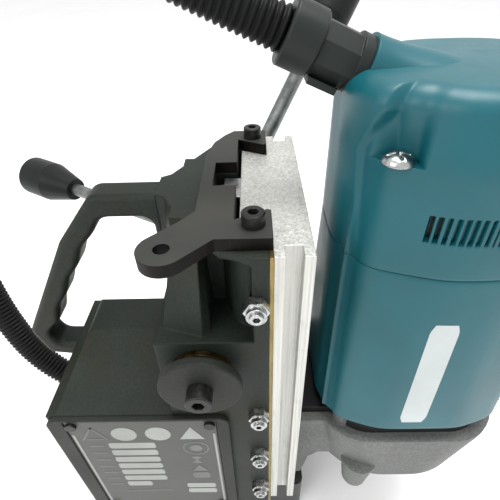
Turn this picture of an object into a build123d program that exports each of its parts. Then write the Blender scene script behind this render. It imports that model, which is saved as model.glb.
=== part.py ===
from build123d import *
import math
import os

# Magnetic base drill press, millimetres, +Z up, arbor towards +X.
# The origin is the centre of the magnet's underside.

# ---------------------------------------------------------------- driving dimensions
# magnet base
BASE_LENGTH = 166.0
BASE_WIDTH = 84.0
BASE_HEIGHT = 46.0
# column casting
COLUMN_TOP = 300.0
COLUMN_REAR = 0.0
JAW_FRONT = 54.2
NEAR_FACE = -60.0
FAR_FACE = 54.0
HOUSING_REAR = -72.0
HOUSING_TOP = 188.0
HOUSING_FAR = 31.0
WALL = 5.0
HANDLE_HALF = 9.0
# dovetail way
TONGUE_BACK = 41.8
SHOULDER = 55.9
SLOT_FLOOR = 40.0
MOUTH_HALF = 32.0
FLANK_SLOPE = 7.5 / 14.1
GIB_THICK = 4.1
GIB_X = 48.5
GIB_HEIGHTS = (275, 189, 143, 97)
# slide
SLIDE_FRONT = 72.4
SLIDE_HALF = 59.0
SLIDE_BOTTOM = 70.0
SLIDE_TOP = 300.0
# feed gear
MODULE = 1.5
FEED_TEETH = 14
FEED_X = 21.0
FEED_Z = 230.0
FEED_RADIUS = MODULE * FEED_TEETH / 2
SHAFT_RADIUS = 8.0
BUSH_RADIUS = 12.05
# feed lever
HUB_RADIUS = 26.0
CAP_DISC_RADIUS = 20.2
SPOKE_APEX = 48.0
SPOKE_LEAN = 29.0
SPOKE_PHASE = 58.0
SPOKE_RADIUS = 5.0
SPOKE_IN = 22.5
KNOB_START = 140.0
KNOB_END = 190.0
# motor and gearbox
MOTOR_X = 144.0
MOTOR_HALF = 58.5
MOTOR_CORNER = 35.0
SEAM_HALF = 57.5
SEAM_CORNER = 50.0
GEARBOX_BOTTOM = 100.0
GEARBOX_TOP = 150.0
RING_TOP = 163.0
SEAM_Z = 278.0
CAP_TOP = 360.0
COUNTER_X = 111.0
TRAIN = dict(motor=8, first=36, second=9, spindle=35)
# conduit
HOSE_RADIUS = 9.2
NECK_TILT = 24.0
NECK_X = 94.0
NECK_Z = 354.0
NECK_RADIUS = 13.6
FITTING_RADIUS = 12.1
HOSE_POINTS = [
    (61.98, 0.0, 368.256),
    (33.706, 0.0, 380.845),
    (-4.0, 5.0, 398.0),
    (-45.0, 15.0, 401.5),
    (-85.0, 26.0, 388.0),
    (-117.0, 34.0, 356.0),
    (-137.0, 37.0, 313.0),
    (-145.5, 36.0, 266.0),
    (-146.0, 32.0, 220.0),
    (-140.0, 25.0, 177.0),
    (-126.5, 18.0, 142.0),
    (-105.15, 15.0, 115.75),
    (-82.87, 15.0, 97.06),
]
GLAND_Y = 15.0
GLAND_Z = 88.0
GLAND_TILT = 40.0
GLAND_REACH = 14.1
# fasteners
BOLT_ROWS = (-57, -34, -12)
BOLT_SIDE = 19.0
PLATE_SCREW_X = 48.0
PLATE_SCREW_Y = 44.6

os.makedirs("parts", exist_ok=True)


def block(x0, x1, y0, y1, z0, z1, mode=Mode.ADD):
    """A box between two corners, in the part that is being built."""
    with Locations(((x0 + x1) / 2, (y0 + y1) / 2, (z0 + z1) / 2)):
        Box(x1 - x0, y1 - y0, z1 - z0, mode=mode)


def post(x, y, z0, z1, radius, mode=Mode.ADD):
    """An upright cylinder from z0 to z1."""
    with Locations((x, y, (z0 + z1) / 2)):
        Cylinder(radius, z1 - z0, mode=mode)


def rod(x, z, y0, y1, radius, mode=Mode.ADD):
    """A cylinder along Y from y0 to y1."""
    with Locations((x, (y0 + y1) / 2, z)):
        Cylinder(radius, y1 - y0, rotation=(90, 0, 0), mode=mode)


def pin(y, z, x0, x1, radius, mode=Mode.ADD):
    """A cylinder along X from x0 to x1."""
    with Locations(((x0 + x1) / 2, y, z)):
        Cylinder(radius, x1 - x0, rotation=(0, 90, 0), mode=mode)


def tube(x, y, z0, z1, outer, inner):
    """An upright ring."""
    post(x, y, z0, z1, outer)
    post(x, y, z0, z1, inner, Mode.SUBTRACT)


def bolt_places():
    """Centres of the bolts that hold the casting to the magnet base."""
    return [(x, y) for x in BOLT_ROWS for y in (-BOLT_SIDE, BOLT_SIDE)]


def motor_section(height, half, corner):
    """A rounded square across the motor's axis."""
    with BuildSketch(Plane.XY.offset(height)) as section:
        with Locations((MOTOR_X, 0)):
            RectangleRounded(2 * half, 2 * half, corner)
    return section.sketch


def flank(x):
    """Half-width of the dovetail at x, before clearance."""
    return MOUTH_HALF + (SHOULDER - x) * FLANK_SLOPE


def tooth_outline(teeth, phase=0.0):
    """Corner points of a spur gear with straight-sided teeth, phase in degrees."""
    pitch = MODULE * teeth / 2
    outer = pitch + 0.85 * MODULE
    root = pitch - 1.1 * MODULE
    step = 360 / teeth
    corners = []
    for tooth in range(teeth):
        middle = phase + tooth * step
        for share, radius in ((-0.30, root), (-0.11, outer), (0.11, outer), (0.30, root)):
            angle = math.radians(middle + share * step)
            corners.append((radius * math.cos(angle), radius * math.sin(angle)))
    return corners


def spur_gear(x, y, z0, z1, teeth, bore, phase=0.0):
    """A gear on an upright axis, with a plain bore unless that is zero."""
    with BuildSketch(Plane.XY.offset(z0)) as wheel:
        with Locations((x, y)):
            Polygon(*tooth_outline(teeth, phase), align=None)
            if bore > 0:
                Circle(bore, mode=Mode.SUBTRACT)
    extrude(wheel.sketch, amount=z1 - z0)


def save(part, name):
    """Label a finished piece and write it under that name."""
    part.label = name
    export_step(part, f"parts/{name}.step")


# ================================================================ frame
POLE_GAP = 14.0
BOSS_FOOT = 232.0
ROOF_RIDGE = 208.0
with BuildPart() as magnet_base:
    block(-BASE_LENGTH / 2, BASE_LENGTH / 2, -BASE_WIDTH / 2, BASE_WIDTH / 2, 0, BASE_HEIGHT)
    fillet(magnet_base.edges().filter_by(Axis.Z), 6)
    chamfer(magnet_base.edges().group_by(Axis.Z)[0], 1)
    block(-68, 68, -31, 31, 6, BASE_HEIGHT - 8, Mode.SUBTRACT)
    block(-50, 50, -POLE_GAP / 2, POLE_GAP / 2, 6, BASE_HEIGHT - 8)
    for bolt_x, bolt_y in bolt_places():
        post(bolt_x, bolt_y, BASE_HEIGHT - 8, BASE_HEIGHT, 4, Mode.SUBTRACT)
save(magnet_base.part, "magnet_base")

with BuildPart() as magnet_coil:
    with BuildSketch(Plane.XY.offset(6)):
        RectangleRounded(132, 58, 8)
        Rectangle(101, POLE_GAP + 1, mode=Mode.SUBTRACT)
    extrude(amount=28)
save(magnet_coil.part, "magnet_coil")

# sloping roof of the rear housing, rounded down at its rear end
with BuildPart() as roof:
    with BuildSketch(Plane.YZ.offset(-67)):
        Polygon((NEAR_FACE, HOUSING_TOP - 8), (NEAR_FACE, HOUSING_TOP), (-14, ROOF_RIDGE),
                (12, ROOF_RIDGE), (HOUSING_FAR, HOUSING_TOP), (HOUSING_FAR, HOUSING_TOP - 8),
                align=None)
    extrude(amount=71)
    with BuildSketch(Plane.XZ.offset(-NEAR_FACE)):
        with BuildLine():
            FilletPolyline((4, 178), (-67, 178), (-67, HOUSING_TOP), (-56, ROOF_RIDGE),
                           (4, ROOF_RIDGE), radius=4, close=True)
        make_face()
    extrude(amount=NEAR_FACE - HOUSING_FAR, mode=Mode.INTERSECT)

with BuildPart() as column_frame:
    block(COLUMN_REAR, JAW_FRONT, NEAR_FACE, FAR_FACE, BASE_HEIGHT, 250)
    block(HOUSING_REAR, COLUMN_REAR, NEAR_FACE, HOUSING_FAR, BASE_HEIGHT, HOUSING_TOP)
    # upper column: deep pocket each side between the boss and the jaws
    with BuildSketch(Plane.XY.offset(250)):
        with BuildLine():
            Polyline((10, 30), (33, 30), (41, 46), (47, FAR_FACE), (JAW_FRONT, FAR_FACE),
                     (JAW_FRONT, NEAR_FACE), (47, NEAR_FACE), (46, -50))
            RadiusArc((46, -50), (36, -38), 14)
            Polyline((36, -38), (33, -30), (10, -30), (10, 30))
        make_face()
    extrude(amount=COLUMN_TOP - 250)
    # top flange that carries the plate
    with BuildSketch(Plane.XY.offset(COLUMN_TOP - 4)):
        with BuildLine():
            Polyline((20, 38), (47, FAR_FACE), (JAW_FRONT, FAR_FACE), (JAW_FRONT, NEAR_FACE),
                     (47, NEAR_FACE))
            RadiusArc((47, NEAR_FACE), (34, -54.2), -30)
            Polyline((34, -54.2), (20, -38), (20, 38))
        make_face()
    extrude(amount=4)
    # tapered boss from the full column up to the handle
    with BuildSketch(Plane.XY.offset(BOSS_FOOT)):
        Polygon((0, NEAR_FACE), (12, NEAR_FACE), (27, NEAR_FACE), (27, FAR_FACE), (12, FAR_FACE),
                (0, FAR_FACE), align=None)
    with BuildSketch(Plane.XY.offset(COLUMN_TOP)):
        Polygon((0, -9), (5, -12), (24, -46), (24, 46), (5, 12), (0, 9), align=None)
    loft(ruled=True)
    # dovetail slot, rack slot and the feed shaft's bore
    with BuildSketch(Plane.XY.offset(BASE_HEIGHT)):
        Polygon((SLOT_FLOOR, -flank(SLOT_FLOOR) - GIB_THICK - 0.1),
                (JAW_FRONT + 2, -flank(JAW_FRONT + 2) - GIB_THICK - 0.1),
                (JAW_FRONT + 2, flank(JAW_FRONT + 2) + 0.1),
                (SLOT_FLOOR, flank(SLOT_FLOOR) + 0.1), align=None)
    extrude(amount=COLUMN_TOP, mode=Mode.SUBTRACT)
    block(28.5, 40.5, -12, 12, 80, 320, Mode.SUBTRACT)
    add(roof.part)
    # electronics bay, open on the near side
    block(HOUSING_REAR + WALL, COLUMN_REAR - 4, NEAR_FACE - 1, HOUSING_FAR - WALL,
          BASE_HEIGHT + 6, HOUSING_TOP - WALL, Mode.SUBTRACT)
    block(HOUSING_REAR - 1, HOUSING_REAR + WALL + 1, -36, 24, 114, 166, Mode.SUBTRACT)
    pin(-20, 84, HOUSING_REAR - 1, HOUSING_REAR + WALL + 1, 8, Mode.SUBTRACT)
    for bolt_x, bolt_y in bolt_places():
        post(bolt_x, bolt_y, BASE_HEIGHT - 1, BASE_HEIGHT + 7, 4, Mode.SUBTRACT)
    for height in GIB_HEIGHTS:
        rod(GIB_X, height, NEAR_FACE - 1, -38, 3, Mode.SUBTRACT)
    for screw_y in (-PLATE_SCREW_Y, PLATE_SCREW_Y):
        post(PLATE_SCREW_X, screw_y, COLUMN_TOP - 20, COLUMN_TOP + 1, 3, Mode.SUBTRACT)
    pin(GLAND_Y, GLAND_Z, HOUSING_REAR - 1, HOUSING_REAR + WALL + 1, 8.05, Mode.SUBTRACT)
    rod(FEED_X, FEED_Z, NEAR_FACE - 10, FAR_FACE + 10, BUSH_RADIUS, Mode.SUBTRACT)
save(column_frame.part, "column_frame")

# D-handle in the centre plane, waved for the fingers, joined to boss and housing
with BuildPart() as carry_handle:
    with BuildSketch(Plane.XZ.offset(HANDLE_HALF)):
        with BuildLine():
            FilletPolyline((16, COLUMN_TOP - 1), (-34, COLUMN_TOP - 1), (-58, 270), (-99, 200),
                           (-93, 178), (-70, 174), (16, 174), radius=8, close=True)
        make_face()
        with BuildLine():
            Polyline((-4, 212), (-4, 279))
            RadiusArc((-4, 279), (-11, 286), -7)
            Line((-11, 286), (-26, 286))
            Spline((-26, 286), (-37, 277), (-46.5, 266), (-52, 254.5), (-60, 244), (-65, 233),
                   (-73, 221), (-78, 208), (-86, 198), (-84, 190), (-77, 187.5),
                   tangents=((-1, 0), (1, 0)))
            Polyline((-77, 187.5), (-69, 187.5), (-54, 212), (-4, 212))
        make_face(mode=Mode.SUBTRACT)
    extrude(amount=-2 * HANDLE_HALF)
    flat_edges = carry_handle.edges().filter_by(
        lambda edge: abs(abs(edge.center().Y) - HANDLE_HALF) < 0.01)
    fillet(flat_edges.filter_by(lambda edge: edge.center().Z > 216 and edge.center().X < -1), 4)
    add(column_frame.part, mode=Mode.SUBTRACT)
    block(HOUSING_REAR, 60, -30, 30, 100, HOUSING_TOP, Mode.SUBTRACT)
    block(-4.5, 60, -30, 30, 100, 276, Mode.SUBTRACT)
    block(0, 60, -30, 30, 270, 290, Mode.SUBTRACT)
    block(-69.5, -4, -10, 10, 186, 213, Mode.SUBTRACT)
save(carry_handle.part, "carry_handle")

with BuildPart() as base_bolts:
    for bolt_x, bolt_y in bolt_places():
        post(bolt_x, bolt_y, BASE_HEIGHT - 7, BASE_HEIGHT + 6, 4)
        post(bolt_x, bolt_y, BASE_HEIGHT + 6, BASE_HEIGHT + 13, 6.5)
save(base_bolts.part, "base_bolts")

# top plate, C-shaped round the dovetail, with a lug for the safety chain
PLATE_THICK = 6.0
PLATE_TOP = COLUMN_TOP + PLATE_THICK
LUG_X = 13.0
LUG_Y = -60.0
LUG_RADIUS = 10.0
LUG_HOLE = 3.3
PLATE_FRONT = 55.7
PLATE_HALF = 54.5


def lug_point(side_x, side_y):
    """A point on the lug's rim in one of the four diagonal directions."""
    reach = LUG_RADIUS * math.sqrt(0.5)
    return (LUG_X + side_x * reach, LUG_Y + side_y * reach)


with BuildPart() as top_plate:
    with BuildSketch(Plane.XY.offset(COLUMN_TOP)):
        with BuildLine():
            Polyline((PLATE_FRONT, -PLATE_HALF), (32.3, -PLATE_HALF), lug_point(1, -1))
            ThreePointArc(lug_point(1, -1), lug_point(-1, -1), lug_point(-1, 1))
            Polyline(lug_point(-1, 1), (17, -41.9), (23, -34), (23, 22), (26.5, 38), (32, 48),
                     (37, 54), (PLATE_FRONT, 54), (PLATE_FRONT, 34))
            RadiusArc((PLATE_FRONT, 34), (54, 33.4), -2)
            Polyline((54, 33.4), (39.9, 41.2), (39.9, 12), (28.9, 12), (28.9, -12), (39.9, -12),
                     (39.9, -41.2), (54, -33.4))
            RadiusArc((54, -33.4), (PLATE_FRONT, -34), -2)
            Line((PLATE_FRONT, -34), (PLATE_FRONT, -PLATE_HALF))
        make_face()
        with Locations((LUG_X, LUG_Y)):
            Circle(LUG_HOLE, mode=Mode.SUBTRACT)
        with Locations((PLATE_SCREW_X, -PLATE_SCREW_Y), (PLATE_SCREW_X, PLATE_SCREW_Y)):
            Circle(3.3, mode=Mode.SUBTRACT)
    extrude(amount=PLATE_THICK)
save(top_plate.part, "top_plate")


def cap_screw(x, y, z, head_radius, head_height, shank_radius, shank_length):
    """A socket head screw pointing down, its head standing on z."""
    post(x, y, z, z + head_height, head_radius)
    post(x, y, z - shank_length, z, shank_radius)
    with BuildSketch(Plane.XY.offset(z + head_height)) as socket:
        with Locations((x, y)):
            RegularPolygon(head_radius * 0.5, 6)
    extrude(socket.sketch, amount=-head_height * 0.6, mode=Mode.SUBTRACT)


with BuildPart() as plate_screws:
    for screw_y in (-PLATE_SCREW_Y, PLATE_SCREW_Y):
        cap_screw(PLATE_SCREW_X, screw_y, PLATE_TOP, 5, 6, 3, 24)
    chamfer(plate_screws.edges().group_by(Axis.Z)[-1].filter_by(GeomType.CIRCLE), 0.5)
save(plate_screws.part, "plate_screws")

# brass wear strips between jaws and slide shoulders, and the adjustable gib
with BuildPart() as wear_strips:
    block(JAW_FRONT, SHOULDER - 0.1, NEAR_FACE, -38, 52, COLUMN_TOP)
    block(JAW_FRONT, SHOULDER - 0.1, 34, FAR_FACE, 52, COLUMN_TOP)
save(wear_strips.part, "wear_strips")

with BuildPart() as gib_strip:
    with BuildSketch(Plane.XY.offset(60)):
        Polygon((43, -flank(43) - GIB_THICK), (53.5, -flank(53.5) - GIB_THICK),
                (53.5, -flank(53.5) - 0.1), (43, -flank(43) - 0.1), align=None)
    extrude(amount=236)
save(gib_strip.part, "gib_strip")

GIB_TIP = -flank(GIB_X - 3) - GIB_THICK - 0.1
with BuildPart() as gib_screws:
    for height in GIB_HEIGHTS:
        rod(GIB_X, height, NEAR_FACE - 9, GIB_TIP, 3)
        with BuildSketch(Plane.XZ.offset(-NEAR_FACE + 9)):
            with Locations((GIB_X, height)):
                RegularPolygon(1.7, 6)
        extrude(amount=-4, mode=Mode.SUBTRACT)
save(gib_screws.part, "gib_screws")

with BuildPart() as gib_locknuts:
    for height in GIB_HEIGHTS:
        with BuildSketch(Plane.XZ.offset(-NEAR_FACE)):
            with Locations((GIB_X, height)):
                RegularPolygon(5, 6, major_radius=False)
        extrude(amount=5)
        rod(GIB_X, height, NEAR_FACE - 7.6, NEAR_FACE - 5, 4.5)
        rod(GIB_X, height, NEAR_FACE - 8, NEAR_FACE, 3.0, Mode.SUBTRACT)
save(gib_locknuts.part, "gib_locknuts")

# near side cover and its rating plate
COVER_FACE = NEAR_FACE - 3
COVER_FRONT = 31.5
PLATE_BOX = (-62.0, 24.0, 66.0, 185.5)
PLATE_SCREWS = [(x, z) for x in (PLATE_BOX[0] + 3.5, PLATE_BOX[1] - 3.5)
                for z in (PLATE_BOX[2] + 4, PLATE_BOX[3] - 4)]
with BuildPart() as side_cover:
    with BuildSketch(Plane.XZ.offset(-NEAR_FACE)):
        with Locations(((HOUSING_REAR + COVER_FRONT) / 2, 118)):
            RectangleRounded(COVER_FRONT - HOUSING_REAR, 140, 6)
    extrude(amount=3)
    block(PLATE_BOX[0] - 0.5, PLATE_BOX[1] + 0.5, COVER_FACE - 1, COVER_FACE + 1.2,
          PLATE_BOX[2] - 0.5, PLATE_BOX[3] + 0.5, Mode.SUBTRACT)
    for screw_x, screw_z in PLATE_SCREWS:
        rod(screw_x, screw_z, COVER_FACE, COVER_FACE + 2.7, 1.6, Mode.SUBTRACT)
save(side_cover.part, "side_cover")

with BuildPart() as rating_plate:
    block(PLATE_BOX[0], PLATE_BOX[1], COVER_FACE + 0.5, COVER_FACE + 1.2, PLATE_BOX[2], PLATE_BOX[3])
    for screw_x, screw_z in PLATE_SCREWS:
        rod(screw_x, screw_z, COVER_FACE, COVER_FACE + 2, 1.6, Mode.SUBTRACT)
save(rating_plate.part, "rating_plate")

with BuildPart() as rating_plate_screws:
    for screw_x, screw_z in PLATE_SCREWS:
        rod(screw_x, screw_z, COVER_FACE - 1.3, COVER_FACE + 0.5, 3.2)
        rod(screw_x, screw_z, COVER_FACE + 0.5, COVER_FACE + 2.6, 1.6)
save(rating_plate_screws.part, "rating_plate_screws")

# electronics in the bay
with BuildPart() as circuit_board:
    block(-60, -8, 6, 8.6, 66, 176)
    block(-52, -38, -6, 6, 74, 92)
    block(-30, -16, -10, 6, 120, 134)
    post(-48, 0, 110, 132, 7)
save(circuit_board.part, "circuit_board")

with BuildPart() as transformer:
    block(-40, -14, -50, -24, 68, 100)
    block(-44, -10, -46, -28, 70, 96)
save(transformer.part, "transformer")

# switch panel on the rear face
with BuildPart() as switch_panel:
    block(HOUSING_REAR - 2, HOUSING_REAR, -40, 28, 110, 170)
    block(HOUSING_REAR, HOUSING_REAR + 4.9, -36, 24, 114, 166)
    pin(-22, 156, HOUSING_REAR - 3, HOUSING_REAR + 6, 8.3, Mode.SUBTRACT)
    pin(-22, 134, HOUSING_REAR - 3, HOUSING_REAR + 6, 8.3, Mode.SUBTRACT)
    block(HOUSING_REAR - 3, HOUSING_REAR + 6, -1.3, 14.3, 134, 160, Mode.SUBTRACT)
    pin(6.5, 124, HOUSING_REAR - 3, HOUSING_REAR + 6, 3.05, Mode.SUBTRACT)
save(switch_panel.part, "switch_panel")

BUTTONS = {"start_button": (-22, 156), "stop_button": (-22, 134)}
for name, (button_y, button_z) in BUTTONS.items():
    with BuildPart() as button:
        pin(button_y, button_z, HOUSING_REAR - 8, HOUSING_REAR + 7, 8)
        fillet(button.edges().group_by(Axis.X)[0], 1.5)
    save(button.part, name)

ROCKER_PIVOT_X = HOUSING_REAR + 3
ROCKER_Z = 147.0
with BuildPart() as magnet_rocker:
    with BuildSketch(Plane.XZ.offset(1)):
        Polygon((HOUSING_REAR + 7, ROCKER_Z - 7), (HOUSING_REAR - 3, ROCKER_Z - 11),
                (HOUSING_REAR - 3.5, ROCKER_Z), (HOUSING_REAR - 7.5, ROCKER_Z + 9),
                (HOUSING_REAR + 7, ROCKER_Z + 7), align=None)
    extrude(amount=-15)
    rod(ROCKER_PIVOT_X, ROCKER_Z, -3, 16, 1.5, Mode.SUBTRACT)
save(magnet_rocker.part, "magnet_rocker")

with BuildPart() as power_lamp:
    pin(6.5, 124, HOUSING_REAR - 4, HOUSING_REAR + 5, 3)
    fillet(power_lamp.edges().group_by(Axis.X)[0], 1.4)
save(power_lamp.part, "power_lamp")

with BuildPart() as mains_inlet:
    pin(-20, 84, HOUSING_REAR - 14, HOUSING_REAR, 11)
    pin(-20, 84, HOUSING_REAR, HOUSING_REAR + WALL, 8)
    pin(-20, 84, HOUSING_REAR - 15, HOUSING_REAR + 1, 4.5, Mode.SUBTRACT)
save(mains_inlet.part, "mains_inlet")

gland_heading = Vector(-math.cos(math.radians(GLAND_TILT)), 0, math.sin(math.radians(GLAND_TILT)))
with BuildPart() as conduit_gland:
    with BuildSketch(Plane(origin=(HOUSING_REAR, GLAND_Y, GLAND_Z), z_dir=gland_heading)):
        Circle(13)
    extrude(amount=GLAND_REACH, both=True)
    block(HOUSING_REAR, HOUSING_REAR + 60, -30, 50, 40, 140, Mode.SUBTRACT)
    pin(GLAND_Y, GLAND_Z, HOUSING_REAR, HOUSING_REAR + WALL, 8)
save(conduit_gland.part, "conduit_gland")

# ================================================================ feed shaft
with BuildPart() as shaft_bushes:
    for y0, y1, flange in ((NEAR_FACE, -20, NEAR_FACE - 3), (20, FAR_FACE, None)):
        rod(FEED_X, FEED_Z, y0, y1, BUSH_RADIUS)
        if flange is not None:
            rod(FEED_X, FEED_Z, flange, y0, 15)
        rod(FEED_X, FEED_Z, y0 - 5, y1 + 5, SHAFT_RADIUS + 0.05, Mode.SUBTRACT)
save(shaft_bushes.part, "shaft_bushes")

with BuildPart() as pinion_shaft:
    rod(FEED_X, FEED_Z, -67, 72, SHAFT_RADIUS)
    with BuildSketch(Plane.XZ.offset(9.5).shift_origin((FEED_X, -9.5, FEED_Z))):
        Polygon(*tooth_outline(FEED_TEETH, 0.0), align=None)
    extrude(amount=-19)
    rod(FEED_X, FEED_Z, -67.1, -50, 3, Mode.SUBTRACT)
save(pinion_shaft.part, "pinion_shaft")

with BuildPart() as hub_cap_disc:
    rod(FEED_X, FEED_Z, -72, -67, CAP_DISC_RADIUS)
    chamfer(hub_cap_disc.edges().filter_by(GeomType.CIRCLE), 0.6)
    rod(FEED_X, FEED_Z, -73, -66, 3, Mode.SUBTRACT)
save(hub_cap_disc.part, "hub_cap_disc")

with BuildPart() as hub_cap_screw:
    rod(FEED_X, FEED_Z, -80, -72, 6.3)
    chamfer(hub_cap_screw.edges().filter_by(GeomType.CIRCLE).group_by(Axis.Y)[0], 0.5)
    rod(FEED_X, FEED_Z, -72, -51, 3)
    with BuildSketch(Plane.XZ.offset(80)):
        with Locations((FEED_X, FEED_Z)):
            RegularPolygon(3.2, 6)
    extrude(amount=-4.5, mode=Mode.SUBTRACT)
save(hub_cap_screw.part, "hub_cap_screw")

# lever hub on the far side, with three leaning spokes and knobs
def spoke_plane(index, along):
    """A plane across a spoke, its normal pointing outward."""
    turn = math.radians(SPOKE_PHASE + 120 * index)
    lean = math.radians(SPOKE_LEAN)
    heading = Vector(math.cos(turn) * math.cos(lean), math.sin(lean),
                     math.sin(turn) * math.cos(lean))
    return Plane(origin=Vector(FEED_X, SPOKE_APEX, FEED_Z) + heading * along, z_dir=heading)


with BuildPart() as lever_hub:
    with BuildSketch(Plane(origin=(FEED_X, 0, FEED_Z), x_dir=(1, 0, 0), z_dir=(0, 0, 1))):
        with BuildLine():
            Polyline((SHAFT_RADIUS, FAR_FACE + 1), (HUB_RADIUS, FAR_FACE + 1), (HUB_RADIUS, 68),
                     (17, 80), (SHAFT_RADIUS, 82), close=True)
        make_face()
    revolve(axis=Axis((FEED_X, 0, FEED_Z), (0, 1, 0)))
    for index in range(3):
        with BuildSketch(spoke_plane(index, SPOKE_IN)):
            Circle(SPOKE_RADIUS)
        extrude(amount=40, mode=Mode.SUBTRACT)
save(lever_hub.part, "lever_hub")

with BuildPart() as lever_spokes:
    for index in range(3):
        with BuildSketch(spoke_plane(index, SPOKE_IN)):
            Circle(SPOKE_RADIUS)
        extrude(amount=KNOB_START + 10 - SPOKE_IN)
save(lever_spokes.part, "lever_spokes")

with BuildPart() as lever_knobs:
    for index in range(3):
        with BuildSketch(spoke_plane(index, KNOB_START)):
            Circle(9)
        with BuildSketch(spoke_plane(index, KNOB_START + 26)):
            Circle(16)
        loft()
        with BuildSketch(spoke_plane(index, KNOB_START + 26)):
            Circle(16)
        extrude(amount=KNOB_END - KNOB_START - 26)
        with BuildSketch(spoke_plane(index, KNOB_START - 1)):
            Circle(SPOKE_RADIUS)
        extrude(amount=11, mode=Mode.SUBTRACT)
save(lever_knobs.part, "lever_knobs")

# ================================================================ carriage
GROOVE_REAR = 60.5
GROOVE_FRONT = 67.9
GROOVE_DEPTH = 7.4
with BuildPart() as slide:
    block(SHOULDER, SLIDE_FRONT, -SLIDE_HALF, SLIDE_HALF, SLIDE_BOTTOM, SLIDE_TOP)
    with BuildSketch(Plane.XY.offset(SLIDE_BOTTOM)):
        Polygon((TONGUE_BACK, -flank(TONGUE_BACK)), (SHOULDER, -flank(SHOULDER)),
                (SHOULDER, flank(SHOULDER)), (TONGUE_BACK, flank(TONGUE_BACK)), align=None)
    extrude(amount=SLIDE_TOP - SLIDE_BOTTOM)
    for side in (-1, 1):
        block(GROOVE_REAR, GROOVE_FRONT, min(side * SLIDE_HALF, side * (SLIDE_HALF - GROOVE_DEPTH)),
              max(side * SLIDE_HALF, side * (SLIDE_HALF - GROOVE_DEPTH)), SLIDE_BOTTOM, SLIDE_TOP,
              Mode.SUBTRACT)
    for height in (120, 200, 280):
        pin(0, height, TONGUE_BACK - 1, 52, 2.5, Mode.SUBTRACT)
save(slide.part, "slide")

PITCH_LINE = FEED_X + FEED_RADIUS
TOOTH_STEP = math.pi * MODULE
RACK_TIP = PITCH_LINE - 0.85 * MODULE
RACK_ROOT = PITCH_LINE + 1.1 * MODULE
rack_teeth = []
for number in range(-28, 15):
    middle = FEED_Z + (number + 0.5) * TOOTH_STEP
    if 100 < middle < 296:
        for share, face_x in ((-0.29, RACK_ROOT), (-0.11, RACK_TIP), (0.11, RACK_TIP), (0.29, RACK_ROOT)):
            rack_teeth.append((face_x, middle + share * TOOTH_STEP))
with BuildPart() as feed_rack:
    with BuildSketch(Plane.XZ.offset(9.5)):
        Polygon((TONGUE_BACK, 97), (RACK_ROOT, 97), *rack_teeth, (RACK_ROOT, 298),
                (TONGUE_BACK, 298), align=None)
    extrude(amount=-19)
    for height in (120, 200, 280):
        pin(0, height, RACK_ROOT + 2, TONGUE_BACK + 1, 2.5, Mode.SUBTRACT)
save(feed_rack.part, "feed_rack")

with BuildPart() as rack_screws:
    for height in (120, 200, 280):
        pin(0, height, RACK_ROOT + 2, 52, 2.5)
save(rack_screws.part, "rack_screws")

# gear housing: arched arm from the slide, rounded-square case, guard bosses below it
LUG_TURNS = (45, 135, 225, 315)
ARM_HALF = 44.0
BOSS_X = 117.0
BOSS_Y = 50.0
BOSS_BOTTOM = 85.0
CAVITY_RADIUS = 49.0
with BuildPart() as gear_housing:
    base_section = motor_section(GEARBOX_BOTTOM, MOTOR_HALF - 1.5, 48)
    rim_section = motor_section(GEARBOX_TOP - 4, MOTOR_HALF, MOTOR_CORNER - 2)
    loft([base_section, rim_section], ruled=True)
    extrude(motor_section(GEARBOX_TOP - 4, MOTOR_HALF, MOTOR_CORNER - 2), amount=4)
    with BuildSketch(Plane.XZ.offset(ARM_HALF)) as arm:
        with BuildLine():
            FilletPolyline((SLIDE_FRONT, 76), (79, 76), (83, 100), (90, 107), (102, 107),
                           (108, GEARBOX_BOTTOM + 2), (120, GEARBOX_BOTTOM + 2),
                           (120, GEARBOX_TOP), (SLIDE_FRONT, GEARBOX_TOP), radius=1.5, close=True)
        make_face()
    extrude(arm.sketch, amount=-2 * ARM_HALF)
    for side in (-1, 1):
        with Locations((BOSS_X, side * BOSS_Y, (BOSS_BOTTOM + GEARBOX_BOTTOM + 14) / 2)):
            Cone(8.5, 12, GEARBOX_BOTTOM + 14 - BOSS_BOTTOM)
    post(MOTOR_X, 0, 72, GEARBOX_BOTTOM + 1, 27)
    post(MOTOR_X, 0, GEARBOX_BOTTOM + 10, GEARBOX_TOP, CAVITY_RADIUS, Mode.SUBTRACT)
    block(82, 125, -34, 34, GEARBOX_BOTTOM + 10, GEARBOX_TOP, Mode.SUBTRACT)
    post(MOTOR_X, 0, 60, GEARBOX_BOTTOM + 11, 20, Mode.SUBTRACT)
    for turn in LUG_TURNS:
        angle = math.radians(turn)
        post(MOTOR_X + 57 * math.cos(angle), 57 * math.sin(angle), GEARBOX_TOP - 4,
             RING_TOP, 7)
save(gear_housing.part, "gear_housing")

# dark ring between gear housing and motor, carrying the upper gear bearing
BEARING_FLOOR = 156.0
RING_INSET = 6.0
with BuildPart() as bearing_plate:
    extrude(motor_section(GEARBOX_TOP, MOTOR_HALF - RING_INSET, MOTOR_CORNER - RING_INSET),
            amount=RING_TOP - GEARBOX_TOP)
    block(76, 100, -38, 38, GEARBOX_TOP, BEARING_FLOOR)
    post(MOTOR_X, 0, GEARBOX_TOP, RING_TOP, 16, Mode.SUBTRACT)
    post(COUNTER_X, 0, GEARBOX_TOP, BEARING_FLOOR + 4, 9, Mode.SUBTRACT)
    for turn in LUG_TURNS:
        angle = math.radians(turn)
        post(MOTOR_X + 57 * math.cos(angle), 57 * math.sin(angle), GEARBOX_TOP, RING_TOP, 7,
             Mode.SUBTRACT)
save(bearing_plate.part, "bearing_plate")

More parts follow.
